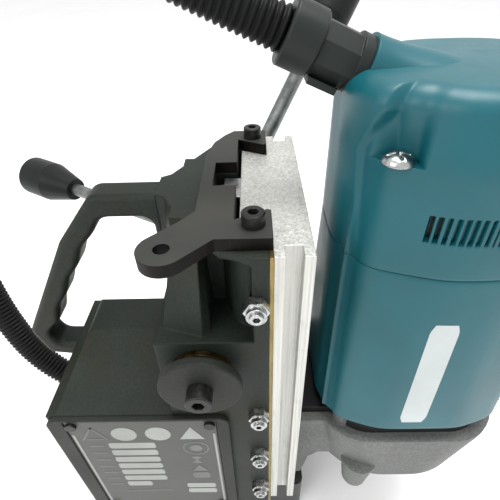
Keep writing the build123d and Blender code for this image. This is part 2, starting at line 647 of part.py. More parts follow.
STATOR_RADIUS = 50.0
CAP_SHANK = 2.5
CAP_SCREW_RING = 55.0
CAP_SCREW_Z = 328.0
CAP_SCREWS = [(MOTOR_X + CAP_SCREW_RING * math.cos(math.radians(turn)),
               CAP_SCREW_RING * math.sin(math.radians(turn))) for turn in LUG_TURNS]
with BuildPart() as motor_housing:
    loft([motor_section(RING_TOP, MOTOR_HALF, MOTOR_CORNER),
          motor_section(SEAM_Z, SEAM_HALF, SEAM_CORNER)], ruled=True)
    post(MOTOR_X, 0, RING_TOP, SEAM_Z, STATOR_RADIUS, Mode.SUBTRACT)
    for screw_x, screw_y in CAP_SCREWS:
        post(screw_x, screw_y, SEAM_Z - 31, SEAM_Z, CAP_SHANK, Mode.SUBTRACT)
save(motor_housing.part, "motor_housing")

neck_heading = Vector(-math.cos(math.radians(NECK_TILT)), 0, math.sin(math.radians(NECK_TILT)))
neck_origin = Vector(NECK_X, 0, NECK_Z)


def neck_plane(along):
    """A plane across the conduit neck, its normal pointing out of the motor."""
    return Plane(origin=neck_origin + neck_heading * along, x_dir=(0, 1, 0), z_dir=neck_heading)


with BuildPart() as motor_cap:
    extrude(motor_section(SEAM_Z, SEAM_HALF, SEAM_CORNER), amount=CAP_TOP - SEAM_Z)
    fillet(motor_cap.edges().group_by(Axis.Z)[-1], 14)
    with BuildSketch(neck_plane(-30)):
        Circle(NECK_RADIUS)
    extrude(amount=30)
    with BuildSketch(neck_plane(0)):
        Circle(FITTING_RADIUS + 0.4)
    extrude(amount=50, mode=Mode.SUBTRACT)
    post(MOTOR_X, 0, SEAM_Z, CAP_TOP - 22, STATOR_RADIUS, Mode.SUBTRACT)
    post(MOTOR_X, 0, CAP_TOP - 23, CAP_TOP - 8, 13, Mode.SUBTRACT)
    for screw_x, screw_y in CAP_SCREWS:
        post(screw_x, screw_y, CAP_SCREW_Z, CAP_TOP, 8.5, Mode.SUBTRACT)
        post(screw_x, screw_y, SEAM_Z - 1, CAP_SCREW_Z + 1, CAP_SHANK, Mode.SUBTRACT)
save(motor_cap.part, "motor_cap")

with BuildPart() as cap_screws:
    for screw_x, screw_y in CAP_SCREWS:
        post(screw_x, screw_y, SEAM_Z - 30, CAP_SCREW_Z, CAP_SHANK)
        post(screw_x, screw_y, CAP_SCREW_Z, CAP_SCREW_Z + 4, 6.4)
    fillet(cap_screws.edges().group_by(Axis.Z)[-1], 2.5)
save(cap_screws.part, "cap_screws")

with BuildPart() as stator_core:
    tube(MOTOR_X, 0, 190, 236, STATOR_RADIUS, 31)
save(stator_core.part, "stator_core")

with BuildPart() as field_coils:
    tube(MOTOR_X, 0, 180, 190, 46, 33)
    tube(MOTOR_X, 0, 236, 248, 46, 33)
save(field_coils.part, "field_coils")

with BuildPart() as motor_bearings:
    tube(MOTOR_X, 0, BEARING_FLOOR + 1, RING_TOP - 1, 16, 6.05)
    tube(MOTOR_X, 0, CAP_TOP - 20, CAP_TOP - 9, 13, 6.05)
save(motor_bearings.part, "motor_bearings")

with BuildPart() as brush_holders:
    for side in (-1, 1):
        pin(0, 300, min(MOTOR_X + side * 24, MOTOR_X + side * 48.8),
            max(MOTOR_X + side * 24, MOTOR_X + side * 48.8), 9)
        block(MOTOR_X - 55, MOTOR_X + 55, -4, 4, 296, 304, Mode.SUBTRACT)
save(brush_holders.part, "brush_holders")

with BuildPart() as carbon_brushes:
    for side in (-1, 1):
        block(min(MOTOR_X + side * 14.4, MOTOR_X + side * 36),
              max(MOTOR_X + side * 14.4, MOTOR_X + side * 36), -4, 4, 296, 304)
save(carbon_brushes.part, "carbon_brushes")

# conduit connector on the motor's neck
with BuildPart() as conduit_connector:
    with BuildSketch(neck_plane(0)):
        Circle(FITTING_RADIUS)
    extrude(amount=5)
    with BuildSketch(neck_plane(5)):
        RegularPolygon(FITTING_RADIUS - 0.8, 8, rotation=22.5)
    extrude(amount=16)
    with BuildSketch(neck_plane(0)):
        Circle(7)
    extrude(amount=21, mode=Mode.SUBTRACT)
save(conduit_connector.part, "conduit_connector")

with BuildPart() as conduit_nut:
    with BuildSketch(neck_plane(21)):
        Circle(13.2)
    extrude(amount=14)
    with BuildSketch(neck_plane(21)):
        Circle(8.5)
    extrude(amount=14, mode=Mode.SUBTRACT)
    chamfer(conduit_nut.edges().filter_by(GeomType.CIRCLE), 0.8)
save(conduit_nut.part, "conduit_nut")

with BuildPart() as conduit_clip:
    with BuildSketch(neck_plane(6.5)):
        with Locations((0, (FITTING_RADIUS - 0.8) * math.cos(math.radians(22.5)) + 1.5)):
            Rectangle(15, 3)
    extrude(amount=13)
save(conduit_clip.part, "conduit_clip")

# conduit from the motor's neck over to the rear gland
runs = [(Vector(*a) - Vector(*b)) for a, b in zip(HOSE_POINTS[1:], HOSE_POINTS[:-1])]
radii = []
for before, after in zip(runs[:-1], runs[1:]):
    turn = math.radians(before.get_angle(after))
    radii.append(0.45 * min(before.length, after.length) / math.tan(turn / 2))
print("conduit radii", [round(radius) for radius in radii])
with BuildPart() as conduit:
    with BuildLine() as hose_line:
        FilletPolyline(*HOSE_POINTS, radius=radii)
    with BuildSketch(Plane(origin=hose_line.line @ 0, z_dir=hose_line.line % 0)):
        Circle(HOSE_RADIUS)
    sweep()
hose_length = sum(edge.length for edge in hose_line.edges())
print("conduit", hose_length, conduit.part.volume / (math.pi * HOSE_RADIUS ** 2 * hose_length))
save(conduit.part, "conduit")

# ================================================================ rotating parts
with BuildPart() as armature:
    post(MOTOR_X, 0, 152, CAP_TOP - 9, 6)
    post(MOTOR_X, 0, 188, 238, 29.5)
save(armature.part, "armature")

with BuildPart() as commutator:
    tube(MOTOR_X, 0, 288, 312, 14, 6)
save(commutator.part, "commutator")

with BuildPart() as cooling_fan:
    tube(MOTOR_X, 0, 166, 169, 46, 6)
    tube(MOTOR_X, 0, 169, 176, 12, 6)
    with Locations((MOTOR_X, 0, 172.5)):
        with PolarLocations(28, 12):
            Box(34, 1.6, 7)
save(cooling_fan.part, "cooling_fan")

with BuildPart() as motor_pinion:
    spur_gear(MOTOR_X, 0, 136, 152, TRAIN["motor"], 0, 0.0)
save(motor_pinion.part, "motor_pinion")

with BuildPart() as countershaft:
    post(COUNTER_X, 0, 111, 159, 5)
    spur_gear(COUNTER_X, 0, 115, 136, TRAIN["second"], 0, 0.0)
save(countershaft.part, "countershaft")

with BuildPart() as stage_gear:
    spur_gear(COUNTER_X, 0, 137, 149, TRAIN["first"], 5, 180 / TRAIN["first"])
save(stage_gear.part, "stage_gear")

with BuildPart() as gear_bearings:
    tube(COUNTER_X, 0, GEARBOX_BOTTOM + 10, 114.5, 9, 5.05)
    tube(COUNTER_X, 0, BEARING_FLOOR, BEARING_FLOOR + 4, 9, 5.05)
save(gear_bearings.part, "gear_bearings")

with BuildPart() as spindle_gear:
    spur_gear(MOTOR_X, 0, 117, 131, TRAIN["spindle"], 12, 0.0)
save(spindle_gear.part, "spindle_gear")

ARBOR_BOTTOM = 22.0
ARBOR_BORE = 9.55
with BuildPart() as spindle:
    post(MOTOR_X, 0, ARBOR_BOTTOM, 70, 17.5)
    post(MOTOR_X, 0, 70, 133, 12)
    fillet(spindle.edges().group_by(Axis.Z)[0], 1)
    post(MOTOR_X, 0, ARBOR_BOTTOM, ARBOR_BOTTOM + 40, ARBOR_BORE, Mode.SUBTRACT)
    for side in (-1, 1):
        rod(MOTOR_X, 36, min(side * 9, side * 18), max(side * 9, side * 18), 4, Mode.SUBTRACT)
save(spindle.part, "spindle")

with BuildPart() as arbor_grub_screws:
    for side in (-1, 1):
        rod(MOTOR_X, 36, min(side * 11, side * 17), max(side * 11, side * 17), 4)
save(arbor_grub_screws.part, "arbor_grub_screws")

with BuildPart() as spindle_bearings:
    tube(MOTOR_X, 0, 73, 85, 20, 12.05)
    tube(MOTOR_X, 0, 97, 109, 20, 12.05)
save(spindle_bearings.part, "spindle_bearings")
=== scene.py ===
import math

import bmesh
import bpy
from mathutils import Matrix, Vector


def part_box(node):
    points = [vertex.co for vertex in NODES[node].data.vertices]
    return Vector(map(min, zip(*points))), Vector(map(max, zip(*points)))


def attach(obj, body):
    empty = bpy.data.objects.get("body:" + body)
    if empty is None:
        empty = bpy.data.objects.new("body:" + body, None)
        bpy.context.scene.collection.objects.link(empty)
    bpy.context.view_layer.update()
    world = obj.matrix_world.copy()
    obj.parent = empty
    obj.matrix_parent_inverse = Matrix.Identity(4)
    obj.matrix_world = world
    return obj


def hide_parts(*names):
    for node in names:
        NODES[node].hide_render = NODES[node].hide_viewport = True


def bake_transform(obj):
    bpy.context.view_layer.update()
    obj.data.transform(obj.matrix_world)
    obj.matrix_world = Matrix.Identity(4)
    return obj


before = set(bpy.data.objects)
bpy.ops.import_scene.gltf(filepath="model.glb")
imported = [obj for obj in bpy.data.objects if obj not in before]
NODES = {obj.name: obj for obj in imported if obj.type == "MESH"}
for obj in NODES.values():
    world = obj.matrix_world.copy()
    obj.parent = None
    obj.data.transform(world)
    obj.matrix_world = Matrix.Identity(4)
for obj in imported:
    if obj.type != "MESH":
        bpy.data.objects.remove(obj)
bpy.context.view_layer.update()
MM = 0.001

# ---------------------------------------------------------------- camera
LENS_MM = 28.66
SENSOR_MM = 36.0
CAMERA_AT = Vector((49.0, -178.0, 398.0)) * MM
CAMERA_RIGHT = Vector((0.9997, 0.0, -0.0257))
CAMERA_UP = Vector((0.0202, 0.6206, 0.7846))


def make_camera():
    """The camera looks down at the near side from above the column's top."""
    back = CAMERA_RIGHT.cross(CAMERA_UP).normalized()
    up = back.cross(CAMERA_RIGHT).normalized()
    right = up.cross(back)
    data = bpy.data.cameras.new("camera")
    data.lens = LENS_MM
    data.sensor_width = SENSOR_MM
    data.clip_start = 0.01
    camera = bpy.data.objects.new("camera", data)
    bpy.context.scene.collection.objects.link(camera)
    turn = Matrix((right, up, back)).transposed().to_4x4()
    camera.matrix_world = Matrix.Translation(CAMERA_AT) @ turn
    bpy.context.scene.camera = camera


make_camera()

# ---------------------------------------------------------------- conduit route
# The same points as the CAD conduit, from the motor's neck to the rear gland.
HOSE_RADIUS = 9.2 * MM
HOSE_ROUTE = [Vector(point) * MM for point in (
    (61.98, 0.0, 368.256),
    (33.706, 0.0, 380.845),
    (-4.0, 5.0, 398.0),
    (-45.0, 15.0, 401.5),
    (-85.0, 26.0, 388.0),
    (-117.0, 34.0, 356.0),
    (-137.0, 37.0, 313.0),
    (-145.5, 36.0, 266.0),
    (-146.0, 32.0, 220.0),
    (-140.0, 25.0, 177.0),
    (-126.5, 18.0, 142.0),
    (-105.15, 15.0, 115.75),
    (-82.87, 15.0, 97.06),
)]


# ---------------------------------------------------------------- material helpers
class Shader:
    """One Principled material and the nodes that feed it."""

    def __init__(self, name, **sockets):
        self.material = bpy.data.materials.new(name)
        self.material.use_nodes = True
        self.tree = self.material.node_tree
        self.surface = self.tree.nodes["Principled BSDF"]
        self.coordinates = self.add("ShaderNodeTexCoord").outputs["Object"]
        for key, value in sockets.items():
            self.surface.inputs[key.replace("_", " ")].default_value = value

    def add(self, kind, **settings):
        node = self.tree.nodes.new(kind)
        for key, value in settings.items():
            setattr(node, key, value)
        return node

    def link(self, source, target):
        self.tree.links.new(source, target)

    def stretched(self, scale):
        """Object coordinates scaled along each axis, in features per metre."""
        mapping = self.add("ShaderNodeMapping")
        mapping.inputs["Scale"].default_value = scale
        self.link(self.coordinates, mapping.inputs["Vector"])
        return mapping.outputs["Vector"]

    def noise(self, scale, detail=3.0, roughness=0.55, vector=None):
        node = self.add("ShaderNodeTexNoise")
        node.inputs["Scale"].default_value = scale
        node.inputs["Detail"].default_value = detail
        node.inputs["Roughness"].default_value = roughness
        self.link(vector or self.coordinates, node.inputs["Vector"])
        return node.outputs["Fac"]

    def ramp(self, factor, *stops):
        """Colours or greys over a factor; each stop is (place, colour)."""
        node = self.add("ShaderNodeValToRGB")
        elements = node.color_ramp.elements
        while len(elements) < len(stops):
            elements.new(0.5)
        for element, (place, colour) in zip(elements, stops):
            element.position = place
            if not isinstance(colour, (tuple, list)):
                colour = (colour, colour, colour)
            element.color = (*colour, 1.0)
        self.link(factor, node.inputs["Fac"])
        return node.outputs["Color"]

    def mix(self, factor, first, second, blend="MIX"):
        node = self.add("ShaderNodeMix", data_type="RGBA", blend_type=blend)
        for socket, value in ((0, factor), (6, first), (7, second)):
            if isinstance(value, bpy.types.NodeSocket):
                self.link(value, node.inputs[socket])
            elif isinstance(value, (tuple, list)):
                node.inputs[socket].default_value = (*value, 1.0)
            else:
                node.inputs[socket].default_value = value
        return node.outputs[2]

    def colour(self, source):
        self.link(source, self.surface.inputs["Base Color"])

    def roughness(self, source):
        self.link(source, self.surface.inputs["Roughness"])

    def bump(self, *layers, edge=None):
        """Each layer is (height, strength, distance in metres); edge rounds corners off."""
        normal = None
        if edge:
            rounded = self.add("ShaderNodeBevel", samples=6)
            rounded.inputs["Radius"].default_value = edge
            normal = rounded.outputs["Normal"]
        for height, strength, distance in layers:
            node = self.add("ShaderNodeBump")
            node.inputs["Strength"].default_value = strength
            node.inputs["Distance"].default_value = distance
            self.link(height, node.inputs["Height"])
            if normal:
                self.link(normal, node.inputs["Normal"])
            normal = node.outputs["Normal"]
        self.link(normal, self.surface.inputs["Normal"])

    def facing(self, axis):
        """The surface normal's share along an object axis."""
        split = self.add("ShaderNodeSeparateXYZ")
        normal = self.add("ShaderNodeTexCoord").outputs["Normal"]
        self.link(normal, split.inputs[0])
        return split.outputs[axis]


def textured_paint(name, dark, light, grain=900.0, depth=0.00025, tint=None):
    """Powder paint with a fine leathery grain and uneven colour."""
    shader = Shader(name, Metallic=0.0, Specular_IOR_Level=0.22)
    patches = shader.noise(28.0, 5.0)
    base = shader.ramp(patches, (0.3, dark), (0.72, light))
    if tint:
        base = shader.mix(shader.ramp(shader.noise(17.0, 3.0), (0.48, 0.0), (0.7, 0.75)), base, tint)
    specks = shader.ramp(shader.noise(grain * 0.8, 2.0), (0.35, 0.55), (0.62, 1.0))
    shader.colour(shader.mix(0.6, base, specks, "MULTIPLY"))
    shader.roughness(shader.ramp(patches, (0.2, 0.42), (0.8, 0.62)))
    shader.bump((shader.noise(grain, 3.0), 0.55, depth), (shader.noise(110.0, 3.0), 0.25, 0.0006),
                edge=0.0016)
    return shader.material


def brushed_metal(name, dark, light, scale, rough=(0.22, 0.4), metallic=1.0, depth=0.00006):
    """Bare metal with fine lines; scale is the line frequency along X, Y and Z."""
    shader = Shader(name, Metallic=metallic)
    lines = shader.noise(1.0, 4.0, 0.6, shader.stretched(scale))
    clouds = shader.noise(40.0, 4.0)
    base = shader.ramp(lines, (0.3, dark), (0.7, light))
    shader.colour(shader.mix(0.25, base, shader.ramp(clouds, (0.3, 0.5), (0.7, 1.0)), "MULTIPLY"))
    shader.roughness(shader.ramp(lines, (0.3, rough[0]), (0.7, rough[1])))
    shader.bump((lines, 0.3, depth), edge=0.0006)
    return shader.material


def moulded_plastic(name, dark, light, rough=(0.32, 0.45), grain=1500.0, depth=0.00005,
                    gloss=0.25):
    """Moulded plastic with a faint spark-eroded grain and handling marks."""
    shader = Shader(name, Specular_IOR_Level=gloss)
    patches = shader.noise(22.0, 4.0)
    shader.colour(shader.ramp(patches, (0.3, dark), (0.7, light)))
    smears = shader.noise(1.0, 5.0, 0.6, shader.stretched((60.0, 60.0, 18.0)))
    shader.roughness(shader.ramp(smears, (0.3, rough[0]), (0.7, rough[1])))
    shader.bump((shader.noise(grain, 2.0), 0.25, depth), edge=0.0008)
    return shader.material


def laser_cut_plate():
    """Blackened plate: scuffed dark faces and brown striated cut edges."""
    shader = Shader("blackened_plate", Metallic=0.2, Specular_IOR_Level=0.2)
    patches = shader.noise(38.0, 6.0)
    face = shader.ramp(patches, (0.3, (0.027, 0.029, 0.026)), (0.55, (0.035, 0.036, 0.032)),
                       (0.8, (0.045, 0.043, 0.037)))
    scuffs = shader.ramp(shader.noise(95.0, 5.0, 0.7), (0.70, 0.0), (0.76, 0.6))
    face = shader.mix(scuffs, face, (0.16, 0.16, 0.145))
    stripes = shader.noise(1.0, 4.0, 0.65, shader.stretched((700.0, 700.0, 60.0)))
    drift = shader.noise(55.0, 3.0)
    edge = shader.ramp(stripes, (0.3, (0.001, 0.0008, 0.0006)), (0.55, (0.003, 0.0018, 0.0012)),
                       (0.8, (0.020, 0.011, 0.007)))
    edge = shader.mix(shader.ramp(drift, (0.45, 0.0), (0.65, 0.7)), edge, (0.004, 0.0035, 0.003))
    upward = shader.ramp(shader.facing("Z"), (0.4, 0.0), (0.7, 1.0))
    shader.colour(shader.mix(upward, edge, face))
    shader.roughness(shader.ramp(patches, (0.3, 0.45), (0.75, 0.65)))
    shader.bump((stripes, 0.2, 0.0002), (shader.noise(420.0, 3.0), 0.12, 0.0002), edge=0.0007)
    return shader.material


def ground_slide():
    """Bright ground aluminium with fine vertical lines and oily stains."""
    shader = Shader("ground_slide", Metallic=0.85)
    lines = shader.noise(1.0, 4.0, 0.6, shader.stretched((900.0, 900.0, 12.0)))
    base = shader.ramp(lines, (0.3, (0.42, 0.42, 0.395)), (0.7, (0.70, 0.70, 0.66)))
    stains = shader.noise(1.0, 5.0, 0.7, shader.stretched((90.0, 90.0, 45.0)))
    base = shader.mix(shader.ramp(stains, (0.56, 0.0), (0.78, 0.5)), base, (0.20, 0.20, 0.185))
    shader.colour(base)
    shader.roughness(shader.ramp(lines, (0.3, 0.4), (0.7, 0.56)))
    shader.bump((lines, 0.25, 0.00008), edge=0.0006)
    return shader.material


def glossy(name, colour, rough, light):
    """Smooth lacquered plastic, board or lens with a thin clear coat."""
    shader = Shader(name, Roughness=rough, Coat_Weight=0.3)
    drift = shader.noise(120.0, 3.0)
    shader.colour(shader.ramp(drift, (0.3, colour), (0.7, light)))
    shader.bump((shader.noise(900.0, 2.0), 0.08, 0.00005))
    return shader.material


MATERIALS = {
    "casting": textured_paint("casting_paint", (0.009, 0.013, 0.0105), (0.019, 0.026, 0.020),
                              tint=(0.017, 0.015, 0.006)),
    "cover": textured_paint("cover_paint", (0.013, 0.015, 0.012), (0.022, 0.024, 0.020), 1100.0),
    "plate": laser_cut_plate(),
    "black_steel": brushed_metal("black_oxide", (0.010, 0.010, 0.009), (0.030, 0.031, 0.028),
                                 (300.0, 300.0, 300.0), (0.3, 0.5), 0.6),
    "zinc": brushed_metal("bright_zinc", (0.32, 0.33, 0.33), (0.60, 0.61, 0.60),
                          (260.0, 260.0, 260.0), (0.18, 0.34), 1.0, 0.00001),
    "brass": brushed_metal("worn_brass", (0.17, 0.13, 0.045), (0.36, 0.28, 0.11),
                           (200.0, 200.0, 60.0), (0.28, 0.5)),
    "slide": ground_slide(),
    "steel": brushed_metal("turned_steel", (0.30, 0.30, 0.30), (0.62, 0.62, 0.60),
                           (160.0, 160.0, 900.0), (0.22, 0.4)),
    "spoke": brushed_metal("satin_bar", (0.12, 0.13, 0.125), (0.26, 0.27, 0.26),
                           (140.0, 140.0, 140.0), (0.3, 0.45), 0.9),
    "gearbox": textured_paint("die_cast_grey", (0.12, 0.125, 0.12), (0.18, 0.187, 0.178), 700.0,
                              0.00015),
    "base": brushed_metal("magnet_base_steel", (0.045, 0.047, 0.045), (0.095, 0.098, 0.094),
                          (40.0, 40.0, 500.0), (0.35, 0.55), 0.8),
    "teal": moulded_plastic("teal_shell", (0.002, 0.076, 0.095), (0.004, 0.098, 0.122),
                            (0.34, 0.44), gloss=0.4),
    "ring": moulded_plastic("black_moulding", (0.006, 0.006, 0.007), (0.016, 0.016, 0.017)),
    "connector": moulded_plastic("fitting_black", (0.009, 0.012, 0.0115), (0.020, 0.024, 0.023),
                                 (0.35, 0.5)),
    "knob": moulded_plastic("knob_black", (0.006, 0.008, 0.007), (0.013, 0.016, 0.014),
                            (0.35, 0.48), gloss=0.15),
    "label": brushed_metal("rating_plate_grey", (0.055, 0.056, 0.050), (0.085, 0.087, 0.078),
                           (30.0, 900.0, 900.0), (0.4, 0.55), 0.3),
    "board": glossy("board_green", (0.01, 0.09, 0.04), 0.4, (0.015, 0.12, 0.05)),
    "copper": brushed_metal("copper_winding", (0.35, 0.13, 0.05), (0.62, 0.28, 0.12),
                            (30.0, 30.0, 900.0), (0.25, 0.45)),
    "green": glossy("green_button", (0.01, 0.22, 0.05), 0.22, (0.015, 0.27, 0.07)),
    "red": glossy("red_button", (0.42, 0.012, 0.01), 0.22, (0.5, 0.02, 0.015)),
    "lamp": glossy("amber_lens", (0.75, 0.25, 0.02), 0.12, (0.85, 0.32, 0.04)),
    "conduit": moulded_plastic("conduit_nylon", (0.003, 0.0035, 0.0032), (0.009, 0.010, 0.0095),
                               (0.42, 0.55), gloss=0.12),
    # Brass darkened as painted shade, for the bush flanges that sit in the shadowed gap behind the
    # hub disc.
    "shaded_brass": brushed_metal("shaded_brass", (0.035, 0.024, 0.010), (0.10, 0.070, 0.030),
                                   (200.0, 200.0, 60.0), (0.35, 0.55)),
    # Near-black painted shade for the motor's unlit inside, seen through the vent slots.
    "dark": moulded_plastic("vent_painted_shade", (0.004, 0.004, 0.004), (0.010, 0.010, 0.010)),
    "faded": moulded_plastic("faded_print", (0.13, 0.134, 0.124), (0.17, 0.174, 0.162), (0.45, 0.6)),
    "label_white": moulded_plastic("label_white", (0.42, 0.46, 0.46), (0.52, 0.56, 0.56)),
    "print": moulded_plastic("light_print", (0.28, 0.29, 0.27), (0.36, 0.37, 0.345), (0.45, 0.6)),
}

NODE_MATERIALS = {
    "casting": "column_frame carry_handle",
    "cover": "side_cover hub_cap_disc lever_hub",
    "plate": "top_plate",
    "black_steel": "plate_screws hub_cap_screw base_bolts rating_plate_screws rack_screws",
    "zinc": "gib_screws gib_locknuts cap_screws arbor_grub_screws",
    "brass": "wear_strips gib_strip commutator",
    # shaft_bushes take the brass darkened as painted shade.
    "shaded_brass": "shaft_bushes",
    "slide": "slide",
    "steel": "pinion_shaft feed_rack countershaft stage_gear motor_pinion spindle_gear spindle "
             "motor_bearings gear_bearings spindle_bearings stator_core armature transformer",
    "spoke": "lever_spokes",
    "gearbox": "gear_housing",
    "base": "magnet_base",
    "teal": "motor_housing motor_cap",
    "ring": "bearing_plate switch_panel magnet_rocker mains_inlet conduit_gland brush_holders "
            "cooling_fan carbon_brushes",
    "connector": "conduit_connector conduit_nut conduit_clip",
    "knob": "lever_knobs",
    "label": "rating_plate",
    "board": "circuit_board",
    "copper": "magnet_coil field_coils",
    "green": "start_button",
    "red": "stop_button",
    "lamp": "power_lamp",
    "conduit": "conduit",
}


def finish_cad_nodes():
    """Every CAD piece gets its finish."""
    for key, names in NODE_MATERIALS.items():
        for name in names.split():
            mesh = NODES[name].data
            mesh.materials.clear()
            mesh.materials.append(MATERIALS[key])


finish_cad_nodes()


# ---------------------------------------------------------------- mesh helpers
def new_piece(name, maker, key):
    """A piece from a bmesh that maker fills, with a material."""
    mesh = bpy.data.meshes.new(name)
    shape = bmesh.new()
    maker(shape)
    bmesh.ops.recalc_face_normals(shape, faces=shape.faces)
    shape.to_mesh(mesh)
    shape.free()
    piece = bpy.data.objects.new(name, mesh)
    bpy.context.scene.collection.objects.link(piece)
    mesh.materials.append(MATERIALS[key])
    return piece


def shade_smooth(piece, angle=35.0):
    """Smooth shading with sharp edges kept above the angle."""
    limit = math.radians(angle)
    shape = bmesh.new()
    shape.from_mesh(piece.data)
    for face in shape.faces:
        face.smooth = True
    for edge in shape.edges:
        edge.smooth = not (len(edge.link_faces) == 2 and edge.calc_face_angle(0) > limit)
    shape.to_mesh(piece.data)
    shape.free()


# ---------------------------------------------------------------- conduit
def smooth_route(points):
    """Points along the smooth curve that the route controls."""
    curve = bpy.data.curves.new("route", "CURVE")
    curve.dimensions = "3D"
    curve.resolution_u = 16
    spline = curve.splines.new("NURBS")
    spline.points.add(len(points) - 1)
    for target, point in zip(spline.points, points):
        target.co = (*point, 1.0)
    spline.order_u = 3
    spline.use_endpoint_u = True
    holder = bpy.data.objects.new("route", curve)
    mesh = bpy.data.meshes.new_from_object(holder)
    line = [vertex.co.copy() for vertex in mesh.vertices]
    bpy.data.objects.remove(holder)
    bpy.data.meshes.remove(mesh)
    return line


def resample(line, step):
    """Evenly spaced points along a line."""
    lengths = [0.0]
    for before, after in zip(line[:-1], line[1:]):
        lengths.append(lengths[-1] + (after - before).length)
    count = max(2, round(lengths[-1] / step))
    points = []
    index = 0
    for number in range(count + 1):
        goal = lengths[-1] * number / count
        while index < len(line) - 2 and lengths[index + 1] < goal:
            index += 1
        share = (goal - lengths[index]) / (lengths[index + 1] - lengths[index])
        points.append(line[index].lerp(line[index + 1], share))
    return points


RIB_PITCH = 3.1 * MM
RIB_DEPTH = 1.5 * MM
RIB_STEPS = 6


def corrugated_tube(shape, points, around=40):
    """Rings along the points whose radius rises and falls with each rib."""
    side = Vector((0, 1, 0))
    rings = []
    for index, point in enumerate(points):
        before = points[max(0, index - 1)]
        after = points[min(len(points) - 1, index + 1)]
        heading = (after - before).normalized()
        side = (side - heading * side.dot(heading)).normalized()
        other = heading.cross(side)
        wave = 0.5 - 0.5 * math.cos(2 * math.pi * index / RIB_STEPS)
        radius = HOSE_RADIUS - RIB_DEPTH * (1 - wave ** 0.6)
        ring = []
        for turn in range(around):
            angle = 2 * math.pi * turn / around
            offset = side * math.cos(angle) + other * math.sin(angle)
            ring.append(shape.verts.new(point + offset * radius))
        rings.append(ring)
    for low, high in zip(rings[:-1], rings[1:]):
        for turn in range(around):
            nxt = (turn + 1) % around
            shape.faces.new((low[turn], low[nxt], high[nxt], high[turn]))
    shape.faces.new(rings[0][::-1])
    shape.faces.new(rings[-1])


def make_conduit():
    """The corrugated conduit, built along one fixed route."""
    line = smooth_route(HOSE_ROUTE)
    length = sum((after - before).length for before, after in zip(line[:-1], line[1:]))
    ribs = round(length / RIB_PITCH)
    points = resample(line, length / (ribs * RIB_STEPS))
    hose = new_piece("corrugated_conduit", lambda shape: corrugated_tube(shape, points), "conduit")
    for face in hose.data.polygons:
        face.use_smooth = True
    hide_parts("conduit")
    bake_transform(hose)


make_conduit()


# ---------------------------------------------------------------- motor shells
HOUSING_LOW, HOUSING_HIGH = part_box("motor_housing")
MOTOR_X = (HOUSING_LOW[0] + HOUSING_HIGH[0]) / 2
RIM_Z = HOUSING_LOW[2]
SEAM_Z = HOUSING_HIGH[2]
RIM_HALF = (HOUSING_HIGH[0] - HOUSING_LOW[0]) / 2
RIM_CORNER = 35.0 * MM
SEAM_HALF = 57.5 * MM
SEAM_CORNER = 50.0 * MM
SHELL_BORE = 50.0 * MM
CAP_TOP = 356.5 * MM
SCREW_RING = 55.0 * MM
SCREW_LEDGE = 328.0 * MM
SCREW_TURN = 43.0
SCREW_HEAD = 6.3 * MM
NECK = Vector((94.0, 0.0, 354.0)) * MM
NECK_TILT = math.radians(24.0)


def smooth(value, low, high):
    """0 below low and 1 above high, easing between."""
    share = min(1.0, max(0.0, (value - low) / (high - low)))
    return share * share * (3 - 2 * share)


def rounded_square(angle, half, corner):
    """Distance from the middle to the outline of a rounded square."""
    across, along = abs(math.cos(angle)), abs(math.sin(angle))
    straight = half - corner
    if half * along <= straight * across:
        return half / across
    if half * across <= straight * along:
        return half / along
    reach = straight * (across + along)
    return reach + math.sqrt(reach * reach - 2 * straight * straight + corner * corner)


def folded(angle):
    """Degrees from the +X axis, folded into the quarter between 0 and 90."""
    turn = math.degrees(angle) % 180.0
    return min(turn, 180.0 - turn)


SLANT_TURN = 72.0
SLANT_REACH = 62.5
SLANT_TAPER = 9.0
FLAT_TURN = 90.0
FLAT_REACH = 59.0
FLAT_TAPER = 7.0
FACE_BLEND = 1.2 * MM


def section_radius(angle, height):
    """The shell's radius: square rim, rounder seam, flats on the near and far sides."""
    share = min(1.0, (height - RIM_Z) / (SEAM_Z - RIM_Z))
    half = RIM_HALF + (SEAM_HALF - RIM_HALF) * share
    corner = RIM_CORNER + (SEAM_CORNER - RIM_CORNER) * share
    radius = rounded_square(angle, half, corner)
    fold = math.radians(folded(angle))
    slant = (SLANT_REACH - SLANT_TAPER * share) * MM / math.cos(fold - math.radians(SLANT_TURN))
    flat = (FLAT_REACH - FLAT_TAPER * share) * MM / max(
        0.2, math.cos(fold - math.radians(FLAT_TURN)))
    lowest = min(radius, slant, flat)
    return lowest - FACE_BLEND * math.log(sum(
        math.exp((lowest - edge) / FACE_BLEND) for edge in (radius, slant, flat)))


RIDGE_TURN = 36.0
RIDGE_DRIFT = 6.5
RIDGE_HEIGHT = 1.3
RIDGE_WIDTH = 1.0
RIDGE_FADE = 40 * MM
GROOVE_DEPTH = 0.7
GROOVE_OFFSET = 5.0
GROOVE_WIDTH = 3.0


def ridge(angle, height):
    """A thin moulded rib beside each corner, with a shallow groove either side."""
    share = min(1.0, (height - RIM_Z) / (SEAM_Z - RIM_Z))
    offset = folded(angle) - (RIDGE_TURN - RIDGE_DRIFT * share)
    fade = 1.0 - smooth(height, SEAM_Z, SEAM_Z + RIDGE_FADE)
    rib = RIDGE_HEIGHT * math.exp(-(offset / RIDGE_WIDTH) ** 2)
    groove = GROOVE_DEPTH * (math.exp(-((offset - GROOVE_OFFSET) / GROOVE_WIDTH) ** 2)
                             + math.exp(-((offset + GROOVE_OFFSET) / GROOVE_WIDTH) ** 2))
    return (rib - groove) * MM * fade


def housing_radius(angle, height):
    radius = section_radius(angle, height) + ridge(angle, height)
    radius -= 1.0 * MM * (1.0 - smooth(height, RIM_Z, RIM_Z + 1.5 * MM))
    return radius - 0.5 * MM * smooth(height, SEAM_Z - 0.8 * MM, SEAM_Z)


# Height in mm and folded angle in degrees along the edge of the cap's sunk side panel.
PANEL_EDGE = ((278.0, 31.0), (284.0, 33.7), (314.0, 28.4), (330.0, 26.4), (339.0, 31.0),
              (354.0, 41.0), (358.0, 52.0))


